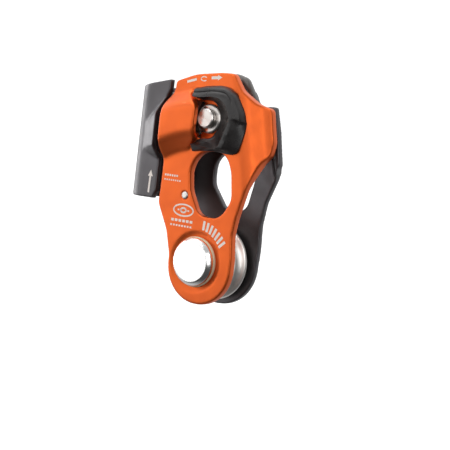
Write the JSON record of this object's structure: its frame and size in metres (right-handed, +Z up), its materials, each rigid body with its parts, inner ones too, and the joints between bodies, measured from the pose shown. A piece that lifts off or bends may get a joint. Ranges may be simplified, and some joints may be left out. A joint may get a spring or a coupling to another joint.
{
  "type": "ascender",
  "caption": "Rope ascender with pulley: two curved metal flanges on a sheave axle, a folded rope channel, a sprung toothed cam with a finger trigger, and a swinging front flange.",
  "frame": {"origin": "on the sheave's axis, midway between the two flanges, at the bottom of the rope groove's width", "axes": "+Z up along the rope channel towards the rope's anchor, +Y along the axle from the swinging front flange towards the fixed back flange, +X to the right with the rope channel at -X"},
  "size_m": [0.0776, 0.0305, 0.1051],
  "materials": {
    "dark_anodised": "satin anodised",
    "orange_anodised": "satin anodised",
    "guard_plastic": "moulded, fine grain",
    "sheave_metal": "satin, turned",
    "cream_plastic": "plain bearing plastic",
    "bright_steel": "polished, turned",
    "cast_steel": "satin",
    "trigger_metal": "satin anodised",
    "bearing_bronze": "plain bearing bronze",
    "spring_steel": "drawn wire"
  },
  "bodies": {
    "fixed_side": {"fixed_flange": "dark_anodised", "pulley_axle": "bright_steel", "axle_cap": "bright_steel", "friction_washer": "cream_plastic", "front_thrust_washer": "cream_plastic", "rear_thrust_washer": "cream_plastic", "axle_rear_washer": "bright_steel", "cam_pin": "bright_steel", "pin_rear_washer": "bright_steel", "cam_washer": "cream_plastic", "cam_stop_pin": "bright_steel", "cam_spring": "spring_steel"},
    "mobile_side": {"mobile_flange": "orange_anodised", "flange_bush": "bearing_bronze", "flange_guard": "guard_plastic", "flange_rivet": "cast_steel"},
    "sheave": {"sheave": "sheave_metal", "sheave_bush": "bearing_bronze"},
    "cam": {"cam": "cast_steel", "cam_bush": "bearing_bronze", "cam_trigger": "trigger_metal", "trigger_rivets": "bright_steel"}
  },
  "joints": [
    {"name": "flange_swing", "type": "hinge", "parent": "fixed_side", "child": "mobile_side", "pos_m": [0, 0, 0], "axis": [0, 1, 0], "range_deg": [0, 120]},
    {"name": "sheave_spin", "type": "hinge", "parent": "fixed_side", "child": "sheave", "pos_m": [0, 0, 0], "axis": [0, 1, 0], "continuous": true},
    {"name": "cam_pivot", "type": "hinge", "parent": "fixed_side", "child": "cam", "pos_m": [-0.0022, 0, 0.064], "axis": [0, -1, 0], "range_deg": [0, 42], "stiffness_Nm_per_rad": 0.03, "springref_deg": -51.57, "deforming": ["cam_spring"]}
  ]
}
